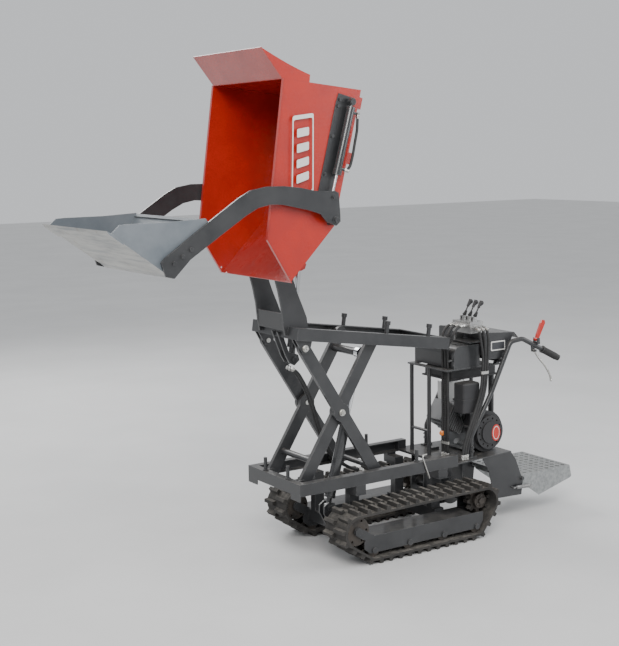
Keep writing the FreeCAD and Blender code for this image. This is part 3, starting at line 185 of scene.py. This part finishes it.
def shovel_finish():
    """Blue-grey paint, with the outer bottom rubbed down to bright steel by sliding along the ground."""
    g = Graph("shovel_paint")
    broad = g.noise(5.0, 5.0, 0.6)
    fine = g.noise(240.0, 4.0, 0.6)
    scratches = g.noise(30.0, 5.0, 0.7, (1.0, 0.12, 1.0))
    paint = g.mix(g.span(broad, 0.35, 0.65), (0.115, 0.135, 0.155), (0.17, 0.19, 0.21))
    steel = g.mix(g.span(scratches, 0.3, 0.7), (0.30, 0.30, 0.29), (0.52, 0.52, 0.50))
    rust = g.span(g.noise(14.0, 7.0, 0.75), 0.56, 0.72, 0.0, 0.55)
    steel = g.mix(rust, steel, (0.20, 0.13, 0.085))
    under = g.span(g.facing((0.588, 0.0, -0.809)), 0.55, 0.92)
    worn = g.math("MULTIPLY", under, g.span(scratches, 0.22, 0.5))
    # Bright steel on convex edges: worn paint, partly also a painted edge highlight.
    chips = g.math("MULTIPLY", g.edges(0.005), g.span(g.noise(60.0, 6.0, 0.75), 0.4, 0.62))
    mask = g.math("ADD", worn, g.math("MULTIPLY", chips, 0.7))
    g.link(g.mix(mask, paint, steel), g.shader.inputs["Base Color"])
    g.link(g.math("MULTIPLY", mask, 0.75), g.shader.inputs["Metallic"])
    g.link(g.span(scratches, 0.25, 0.75, 0.34, 0.62), g.shader.inputs["Roughness"])
    g.bump(g.math("ADD", g.math("MULTIPLY", fine, 0.5), g.math("MULTIPLY", scratches, 0.5)), 0.3)
    return g


# Light grey for chipped edges on the black finishes, also a painted edge highlight.
STEEL_CHIP_AND_HIGHLIGHT = (0.33, 0.33, 0.33)
MATS = {
    "red_paint": finish_of("red_enamel", (0.45, 0.022, 0.012), (0.36, 0.016, 0.010), (0.20, 0.36), coat=0.55,
                           grain=520, grain_depth=0.10, wear_and_highlight=(0.16, 0.05, 0.04), wear_and_highlight_amount=0.35, dust=0.14),
    "black_paint": finish_of("black_enamel", (0.020, 0.021, 0.023), (0.034, 0.035, 0.037), (0.30, 0.50),
                             coat=0.25, grain=430, grain_depth=0.18, wear_and_highlight=STEEL_CHIP_AND_HIGHLIGHT, wear_and_highlight_amount=0.45, dust=0.30),
    "grey_paint": shovel_finish(),
    "dark_casting": finish_of("cast_alloy", (0.14, 0.145, 0.15), (0.21, 0.215, 0.22), (0.45, 0.68), metal=0.65,
                              grain=300, grain_depth=0.55, wear_and_highlight=(0.42, 0.42, 0.41), wear_and_highlight_amount=0.4, dust=0.30),
    "bare_steel": finish_of("bare_steel", (0.34, 0.34, 0.34), (0.47, 0.47, 0.46), (0.28, 0.50), metal=0.9,
                            grain=260, grain_depth=0.25, stretch=(1, 1, 6), dust=0.22),
    "zinc_bolts": finish_of("zinc_plating", (0.60, 0.60, 0.58), (0.47, 0.46, 0.43), (0.22, 0.42), metal=1.0,
                            cloud=60, grain=600, grain_depth=0.15),
    "cylinder_paint": finish_of("cylinder_gloss", (0.024, 0.025, 0.027), (0.038, 0.039, 0.041), (0.16, 0.32),
                                coat=0.6, grain=500, grain_depth=0.08, wear_and_highlight=STEEL_CHIP_AND_HIGHLIGHT, wear_and_highlight_amount=0.4, dust=0.15),
    "chrome_rod": finish_of("hard_chrome", (0.80, 0.81, 0.82), (0.70, 0.71, 0.73), (0.06, 0.14), metal=1.0,
                            cloud=30, grain=900, grain_depth=0.04, stretch=(1, 1, 5)),
    "track_rubber": finish_of("track_rubber", (0.030, 0.029, 0.028), (0.052, 0.049, 0.046), (0.68, 0.90),
                              cloud=12, grain=420, grain_depth=0.5, wear_and_highlight=(0.11, 0.10, 0.09), wear_and_highlight_amount=0.6,
                              dust=0.55, specular=0.3),
    "roller_steel": finish_of("cast_rollers", (0.050, 0.046, 0.043), (0.095, 0.080, 0.068), (0.42, 0.66), metal=0.55,
                              cloud=16, grain=320, grain_depth=0.4, wear_and_highlight=(0.38, 0.37, 0.36), wear_and_highlight_amount=0.6, dust=0.25),
    "step_steel": finish_of("galvanised_step", (0.27, 0.28, 0.28), (0.40, 0.41, 0.41), (0.38, 0.60), metal=0.75,
                            cloud=55, grain=300, grain_depth=0.25, wear_and_highlight=(0.55, 0.55, 0.54), wear_and_highlight_amount=0.5, dust=0.3),
    "black_plastic": finish_of("moulded_plastic", (0.024, 0.024, 0.026), (0.036, 0.036, 0.038), (0.44, 0.62),
                               grain=700, grain_depth=0.35, dust=0.28, specular=0.4),
    "red_plastic": finish_of("red_plastic", (0.52, 0.022, 0.012), (0.44, 0.018, 0.010), (0.22, 0.34), coat=0.3,
                             grain=500, grain_depth=0.08),
    "hose_rubber": finish_of("hose_rubber", (0.019, 0.019, 0.020), (0.034, 0.034, 0.034), (0.48, 0.70),
                             cloud=30, grain=500, grain_depth=0.45, dust=0.22, specular=0.4),
    "white_panel": finish_of("white_panel", (0.74, 0.73, 0.70), (0.66, 0.65, 0.62), (0.26, 0.38), grain=420,
                             grain_depth=0.05),
    "dark_panel": finish_of("dark_panel", (0.035, 0.037, 0.042), (0.05, 0.052, 0.058), (0.24, 0.36), grain=420,
                            grain_depth=0.05),
    "orange_plastic": finish_of("orange_plastic", (0.72, 0.20, 0.02), (0.62, 0.16, 0.015), (0.3, 0.42), grain=420,
                                grain_depth=0.08),
    "floor": finish_of("pale_floor", (0.66, 0.66, 0.655), (0.70, 0.70, 0.695), (0.75, 0.9), cloud=1.2, grain=160,
                       grain_depth=0.05, specular=0.2),
}


def carry_over():
    """Puts the finished material in every slot of every CAD node, by the record's slot name."""
    slot_of = {}
    for part in RECORD["subparts"]:
        slot_of[part["node"]] = part.get("material_slot") or part.get("slot")
    for node, obj in frame["nodes"].items():
        name = slot_of.get(node)
        names = [s.material.name.split(".")[0] if s.material else None for s in obj.material_slots]
        for i, s in enumerate(obj.material_slots):
            key = name if name in MATS else next((k for k in MATS if names[i] and k in names[i]), None)
            s.material = MATS[key or "black_paint"].mat
        if not obj.material_slots:
            obj.data.materials.append(MATS[name or "black_paint"].mat)


carry_over()


# ---- mesh helpers ----
def piece(name, bm, slot, body, mat=None):
    """Turns a bmesh into a named piece with its material and body; the slot name picks the material when no other is
    given.
    """
    bmesh.ops.remove_doubles(bm, verts=bm.verts, dist=1e-6)
    bmesh.ops.recalc_face_normals(bm, faces=bm.faces)
    mesh = bpy.data.meshes.new(name)
    bm.to_mesh(mesh)
    bm.free()
    for face in mesh.polygons:
        face.use_smooth = True
    mesh.set_sharp_from_angle(angle=math.radians(32))
    obj = bpy.data.objects.new(name, mesh)
    bpy.context.scene.collection.objects.link(obj)
    mesh.materials.append(MATS[mat or slot].mat)
    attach(obj, body)
    return obj


def lathe(bm, start, axis, profile, n=20):
    """Closed body of revolution from (distance, radius) pairs along the axis."""
    axis = Vector(axis).normalized()
    side = axis.orthogonal().normalized()
    other = axis.cross(side)
    rings = []
    for d, r in profile:
        centre = Vector(start) + axis * d
        rings.append([bm.verts.new(centre + (side * math.cos(2 * math.pi * i / n) +
                                             other * math.sin(2 * math.pi * i / n)) * r) for i in range(n)])
    for a, b in zip(rings, rings[1:]):
        for i in range(n):
            j = (i + 1) % n
            bm.faces.new((a[i], a[j], b[j], b[i]))
    bm.faces.new(rings[0][::-1])
    bm.faces.new(rings[-1])


def tube(bm, points, radius, n=8):
    """Closed tube along a list of points."""
    points = [Vector(p) for p in points]
    side = (points[1] - points[0]).orthogonal().normalized()
    rings = []
    for k, p in enumerate(points):
        along = (points[min(k + 1, len(points) - 1)] - points[max(k - 1, 0)]).normalized()
        side = (side - along * side.dot(along)).normalized()
        other = along.cross(side)
        rings.append([bm.verts.new(p + (side * math.cos(2 * math.pi * i / n) +
                                        other * math.sin(2 * math.pi * i / n)) * radius) for i in range(n)])
    for a, b in zip(rings, rings[1:]):
        for i in range(n):
            j = (i + 1) % n
            bm.faces.new((a[i], a[j], b[j], b[i]))
    bm.faces.new(rings[0][::-1])
    bm.faces.new(rings[-1])


def rounded(corners, radius, steps=4):
    """Corner points of a polygon with each corner rounded."""
    out = []
    corners = [Vector(c) for c in corners]
    for i, c in enumerate(corners):
        a = (corners[i - 1] - c).normalized()
        b = (corners[(i + 1) % len(corners)] - c).normalized()
        for k in range(steps + 1):
            t = k / steps
            out.append(c + a * radius * (1 - t) ** 2 + b * radius * t ** 2)
    return out


def plate(bm, outline, lift, hole=None):
    """Plate or ring that stands off the surface by the lift vector; a hole has as many points as the outline."""
    lift = Vector(lift)
    low = [bm.verts.new(p - lift * 0.1) for p in outline]
    high = [bm.verts.new(p + lift) for p in outline]
    count = len(outline)
    if hole is None:
        bm.faces.new(low[::-1])
        bm.faces.new(high)
    else:
        low_in = [bm.verts.new(p - lift * 0.1) for p in hole]
        high_in = [bm.verts.new(p + lift) for p in hole]
    for i in range(count):
        j = (i + 1) % count
        bm.faces.new((low[i], low[j], high[j], high[i]))
        if hole is not None:
            bm.faces.new((low_in[j], low_in[i], high_in[i], high_in[j]))
            bm.faces.new((high[i], high[j], high_in[j], high_in[i]))
            bm.faces.new((low[j], low[i], low_in[i], low_in[j]))


def joint_at(name):
    """Place of a joint in the record."""
    return Vector(next(j for j in RECORD["behaviour"]["joints"] if j["name"] == name)["pos_m"])


def body_of(node):
    """Body that a CAD node rides on."""
    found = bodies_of(frame["nodes"][node])
    return found if isinstance(found, str) else found[0]


# ---- hose fittings ----
def ferrule(name, end, outward, radius, body):
    """Crimped sleeve with a hexagon nut round the end of a hose."""
    inward = -Vector(outward).normalized()
    bm = bmesh.new()
    lathe(bm, Vector(end) - inward * 0.0005, inward, [(0.0, radius * 1.25), (0.001, radius * 1.5),
                                                      (0.010, radius * 1.5), (0.011, radius * 1.25)], 6)
    sleeve = [(0.010, radius * 1.12)]
    for k in range(4):
        d = 0.012 + 0.0038 * k
        sleeve += [(d, radius * 1.30), (d + 0.0022, radius * 1.30), (d + 0.0030, radius * 1.18)]
    sleeve.append((0.028, radius * 1.06))
    lathe(bm, end, inward, sleeve, 18)
    piece(name, bm, "zinc_bolts", body)


def hose_fittings():
    """Fittings on both ends of every hose."""
    for k in range(3):
        lever = joint_at("valve_lever_%d_tilt" % (k + 1))
        ferrule("front_port_fitting_%d" % (k + 1), (lever.x + 0.0675, lever.y, lever.z - 0.030),
                (-0.99, -0.04, 0.13), 0.007, "base")
        ferrule("side_port_fitting_%d" % (k + 1), (-0.718 - 0.028 * k, 0.2005, 1.092),
                (0.30, -0.87, 0.40), 0.007, "base")
        ferrule("pump_line_fitting_%d" % (k + 1), (-0.589, 0.084 + 0.022 * k, 0.391), (-0.02, 0.02, -1.0), 0.007, "base")
        ferrule("drive_line_fitting_%d" % (k + 1), (-0.621 - 0.016 * k, 0.207, 0.391), (0.10, -0.03, -0.99), 0.007, "base")
    for label, y in (("right", -0.012), ("left", 0.012)):
        ferrule("tip_line_top_fitting_" + label, (0.339, y + 0.008, 0.972), (0.87, 0.07, 0.49), 0.008, "base")
        ferrule("tip_line_foot_fitting_" + label, (-0.121, y - 0.020, 0.372), (-0.95, -0.04, -0.30), 0.008, "base")
    for label, side in (("left", 1), ("right", -1)):
        ferrule("shovel_line_low_fitting_" + label, (0.2281, 0.3485 * side, 1.9482), (0.96, 0.0, 0.27), 0.0065,
                body_of("ram_hoses"))
        ferrule("shovel_line_top_fitting_" + label, (0.1434, 0.3485 * side, 2.2111), (-0.11, 0.0, 0.99), 0.0065,
                body_of("ram_hoses"))


def spiral_guard():
    """Spiral wrap round the middle pump hose."""
    low, high, turns = 0.56, 0.86, 30
    bm = bmesh.new()
    points = []
    for i in range(turns * 12 + 1):
        t = i / (turns * 12)
        z = low + (high - low) * t
        bow = 0.0015 * math.sin((z - 0.64) / 0.12 * math.pi / 2)
        a = 2 * math.pi * turns * t
        points.append((-0.5885 + bow + 0.0092 * math.cos(a), 0.105 + 0.0092 * math.sin(a), z))
    tube(bm, points, 0.0017, 6)
    piece("spiral_hose_guard", bm, "hose_rubber", "base")


def hose_clamp(name, a, b, inner, outer, low, high):
    """Steel band round a row of parallel hoses, between hose centres a and b."""
    a, b = Vector(a), Vector(b)
    along = (b - a).normalized()
    across = Vector((-along.y, along.x, 0.0))

    def stadium(r):
        pts = []
        for k in range(13):
            t = math.pi * (k / 12 - 0.5)
            pts.append(b + along * r * math.cos(t) + across * r * math.sin(t))
        for k in range(13):
            t = math.pi * (k / 12 + 0.5)
            pts.append(a + along * r * math.cos(t) + across * r * math.sin(t))
        return [Vector((p.x, p.y, low)) for p in pts]
    bm = bmesh.new()
    plate(bm, stadium(outer), (0.0, 0.0, high - low), stadium(inner))
    piece(name, bm, "zinc_bolts", "base")


# ---- small hardware ----
def grease_nipples():
    """Grease nipple in the outer end of every scissor and skip pivot bolt."""
    spots = [("foot", "pivot_bolts_lower", joint_at("scissor_lift")),
             ("middle", "pivot_bolts_centre", joint_at("scissor_cross")),
             ("top", "pivot_bolts_upper", joint_at("upper_frame_pitch")),
             ("skip", "pivot_bolts_upper", joint_at("skip_tip"))]
    for label, node, place in spots:
        for side_name, side in (("left", 1.0), ("right", -1.0)):
            reach = max(abs(v.co.y) for v in frame["nodes"][node].data.vertices
                        if math.hypot(v.co.x - place.x, v.co.z - place.z) < 0.04)
            bm = bmesh.new()
            start = (place.x, side * (reach - 0.0005), place.z)
            lathe(bm, start, (0.0, side, 0.0), [(0.0, 0.0052), (0.0035, 0.0052), (0.0038, 0.0034), (0.0065, 0.0030),
                                                (0.0075, 0.0036), (0.0092, 0.0034), (0.0102, 0.0018)], 12)
            piece("grease_nipple_%s_%s" % (label, side_name), bm, "zinc_bolts", body_of(node))


def locking_pin():
    """Bent pin kept in clips on the lower frame's left side."""
    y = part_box("lower_frame")[1].y + 0.0042
    bm = bmesh.new()
    tube(bm, [(-0.343, y, 0.474), (-0.331, y, 0.474), (-0.324, y, 0.470), (-0.3195, y, 0.462),
              (-0.322, y, 0.452), (-0.364, y, 0.345)], 0.0042, 12)
    piece("locking_pin", bm, "zinc_bolts", "base")


def weld_beads():
    """Rippled beads where the skip's inner cheeks meet its sloping and rear plates."""
    lines = [((0.475, 1.478), (0.268, 1.685)), ((0.268, 1.685), (0.188, 1.994))]
    for k, (a, b) in enumerate(lines):
        for label, y in (("left", 0.1068), ("right", -0.1068)):
            start = Vector((a[0], y, a[1]))
            axis = Vector((b[0], y, b[1])) - start
            steps = int(axis.length / 0.004)
            profile = [(0.004 * i, 0.0030 + 0.0007 * (i % 2)) for i in range(1, steps)]
            bm = bmesh.new()
            lathe(bm, start, axis, profile, 8)
            piece("skip_weld_%d_%s" % (k + 1, label), bm, "red_paint", body_of("skip"))


def lever_trim():
    """Ball knob and rubber boot on each valve lever."""
    for k in range(3):
        node = "valve_lever_%d" % (k + 1)
        foot = joint_at(node + "_tilt")
        top = max((v.co for v in frame["nodes"][node].data.vertices), key=lambda c: (c - foot).length)
        top = Vector((top.x, foot.y, top.z))
        axis = (top - foot).normalized()
        length = (top - foot).length
        ball = [(length - 0.026, 0.0052), (length - 0.024, 0.0078), (length - 0.021, 0.0080)]
        for i in range(13):
            t = math.pi * (0.22 + 0.78 * i / 12)
            ball.append((length - 0.0085 - 0.0125 * math.cos(t), max(0.0125 * math.sin(t), 0.0004)))
        bm = bmesh.new()
        lathe(bm, foot, axis, ball, 24)
        piece("lever_knob_%d" % (k + 1), bm, "black_plastic", body_of(node))
        boot = []
        for i in range(5):
            d = 0.014 + 0.0058 * i
            boot += [(d, 0.0105 - 0.0011 * i), (d + 0.0024, 0.0125 - 0.0012 * i), (d + 0.0040, 0.0095 - 0.0011 * i)]
        bm = bmesh.new()
        lathe(bm, foot, axis, boot, 20)
        piece("lever_boot_%d" % (k + 1), bm, "hose_rubber", body_of(node))


def grip_sleeves():
    """Ribbed rubber sleeve over each hand grip."""
    for label, side in (("left", 1.0), ("right", -1.0)):
        pts = [v.co.copy() for v in frame["nodes"]["hand_grips"].data.vertices if v.co.y * side > 0]
        near = max(pts, key=lambda c: c.x)
        far = min(pts, key=lambda c: c.x)
        mid = sum(pts, Vector()) / len(pts)
        axis = (far - near).normalized()
        for _ in range(12):
            axis = sum(((p - mid) * (p - mid).dot(axis) for p in pts), Vector()).normalized()
        reach = [(p - mid).dot(axis) for p in pts]
        radii = sorted((p - mid - axis * (p - mid).dot(axis)).length for p in pts)
        radius = radii[len(radii) // 2]
        lo, hi = min(reach), max(reach)
        ribs = int((hi - lo - 0.024) / 0.006)
        profile = []
        for i in range(ribs):
            d = lo + 0.012 + 0.006 * i
            profile += [(d, radius + 0.0005), (d + 0.0012, radius + 0.0019), (d + 0.0036, radius + 0.0019),
                        (d + 0.0048, radius + 0.0005)]
        bm = bmesh.new()
        lathe(bm, mid, axis, profile, 28)
        piece("grip_sleeve_" + label, bm, "hose_rubber", "base")


def dipstick():
    """Oil dipstick with a bright handle ahead of the crankcase."""
    bm = bmesh.new()
    start = Vector((-0.619, 0.040, 0.510))
    axis = Vector((-0.570, 0.100, 0.528)) - start
    lathe(bm, start, axis, [(0.0, 0.010), (0.018, 0.010), (0.020, 0.0075), (0.046, 0.0075), (0.048, 0.013),
                            (0.052, 0.015), (0.060, 0.015), (0.064, 0.012), (0.066, 0.004)], 20)
    piece("dipstick", bm, "black_plastic", "base", "orange_plastic")


# ---- plates and panels ----
def skip_panels():
    """Plain framed panel on each side of the skip."""
    corners = [(0.498, 2.196), (0.383, 2.210), (0.390, 1.844), (0.512, 1.802)]
    centre = Vector((sum(c[0] for c in corners) / 4, 0.0, sum(c[1] for c in corners) / 4))
    for label, side in (("left", 1.0), ("right", -1.0)):
        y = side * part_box("skip")[1].y
        outer = [Vector((x, y, z)) for x, z in corners]
        middle = Vector((centre.x, y, centre.z))

        def inset(f):
            return rounded([middle + (c - middle) * f for c in outer], 0.012 * f)
        bm = bmesh.new()
        plate(bm, inset(1.0), (0.0, 0.0006 * side, 0.0), inset(0.90))
        piece("skip_panel_frame_" + label, bm, "black_plastic", body_of("skip"), "white_panel")
        for k in range(4):
            f0, f1 = 0.16 + 0.18 * k, 0.26 + 0.18 * k
            left, right = outer[1].lerp(outer[2], f0), outer[0].lerp(outer[3], f0)
            left2, right2 = outer[1].lerp(outer[2], f1), outer[0].lerp(outer[3], f1)
            quad = [left.lerp(right, 0.22), left.lerp(right, 0.78), left2.lerp(right2, 0.78), left2.lerp(right2, 0.22)]
            bm = bmesh.new()
            plate(bm, rounded(quad, 0.006), (0.0, 0.0006 * side, 0.0))
            piece("skip_panel_bar_%d_%s" % (k + 1, label), bm, "black_plastic", body_of("skip"), "white_panel")


def label_plates():
    """Blank plates on the console's side and on the recoil starter."""
    bm = bmesh.new()
    y = 0.190
    plate(bm, rounded([(-0.934, y, 0.957), (-0.834, y, 0.957), (-0.834, y, 1.008), (-0.934, y, 1.008)], 0.006),
          (0.0, 0.0010, 0.0))
    piece("console_plate", bm, "black_plastic", "base", "white_panel")
    bm = bmesh.new()
    plate(bm, rounded([(-0.928, y + 0.001, 0.963), (-0.840, y + 0.001, 0.963), (-0.840, y + 0.001, 1.002),
                       (-0.928, y + 0.001, 1.002)], 0.004), (0.0, 0.0006, 0.0))
    piece("console_plate_inner", bm, "black_plastic", "base", "dark_panel")
    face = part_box("recoil_starter")[1].y
    for name, rx, rz, lift, mat in (("recoil_badge", 0.030, 0.046, 0.0016, "red_plastic"),
                                    ("recoil_badge_inner", 0.023, 0.037, 0.0024, "white_panel"),
                                    ("recoil_badge_centre", 0.020, 0.033, 0.0030, "red_plastic")):
        bm = bmesh.new()
        oval = [Vector((-0.8865 + rx * math.cos(2 * math.pi * i / 40), face, 0.500 + rz * math.sin(2 * math.pi * i / 40)))
                for i in range(40)]
        plate(bm, oval, (0.0, lift, 0.0))
        piece(name, bm, "red_plastic", "base", mat)


hose_fittings()
spiral_guard()
hose_clamp("drive_hose_clamp", (-0.785, 0.2142, 0.0), (-0.753, 0.2142, 0.0), 0.0076, 0.0096, 0.846, 0.860)
hose_clamp("pump_hose_clamp", (-0.5885, 0.083, 0.0), (-0.5885, 0.127, 0.0), 0.0084, 0.0100, 0.470, 0.484)
grease_nipples()
locking_pin()
weld_beads()
lever_trim()
grip_sleeves()
dipstick()
skip_panels()
label_plates()


# ---- studio ----
def area_light(name, place, target, size, power, colour=(1.0, 1.0, 1.0)):
    data = bpy.data.lights.new(name, "AREA")
    data.shape = "SQUARE"
    data.size = size
    data.energy = power
    data.color = colour
    obj = bpy.data.objects.new(name, data)
    bpy.context.scene.collection.objects.link(obj)
    obj.location = place
    obj.rotation_euler = (Vector(target) - Vector(place)).to_track_quat("-Z", "Y").to_euler()


def studio():
    """Pale floor, even pale world and three soft lights."""
    bm = bmesh.new()
    bmesh.ops.create_grid(bm, x_segments=8, y_segments=8, size=30.0)
    mesh = bpy.data.meshes.new("floor")
    bm.to_mesh(mesh)
    bm.free()
    floor = bpy.data.objects.new("floor", mesh)
    bpy.context.scene.collection.objects.link(floor)
    floor.location.z = -0.0008
    mesh.materials.append(MATS["floor"].mat)
    world = bpy.data.worlds.new("studio")
    bpy.context.scene.world = world
    world.use_nodes = True
    back = next(n for n in world.node_tree.nodes if n.type == "BACKGROUND")
    back.inputs["Color"].default_value = (0.93, 0.95, 0.98, 1.0)
    back.inputs["Strength"].default_value = 0.75
    area_light("key", (3.4, 5.0, 5.4), (-0.1, 0.0, 1.0), 3.4, 420.0, (1.0, 0.98, 0.95))
    area_light("fill", (-5.0, 3.8, 3.4), (-0.3, 0.0, 0.9), 4.0, 190.0, (0.95, 0.97, 1.0))
    area_light("rim", (0.5, -5.5, 4.6), (0.0, 0.0, 1.2), 3.5, 240.0)


def camera():
    """Camera from the front left, a little above the skip's middle, slightly rolled."""
    yaw, pitch, roll = -2.1527198, -0.1405672, -0.0151539
    forward = Vector((math.cos(pitch) * math.cos(yaw), math.cos(pitch) * math.sin(yaw), math.sin(pitch)))
    right = forward.cross(Vector((0.0, 0.0, 1.0))).normalized()
    up = right.cross(forward)
    right2 = right * math.cos(roll) + up * math.sin(roll)
    up2 = up * math.cos(roll) - right * math.sin(roll)
    data = bpy.data.cameras.new("camera")
    data.sensor_fit = "HORIZONTAL"
    data.sensor_width = 36.0
    data.lens = 71.65
    obj = bpy.data.objects.new("camera", data)
    bpy.context.scene.collection.objects.link(obj)
    axes = Matrix((right2, up2, -forward)).transposed().to_4x4()
    obj.matrix_world = Matrix.Translation((3.56467, 5.10774, 2.04792)) @ axes
    bpy.context.scene.camera = obj


studio()
camera()
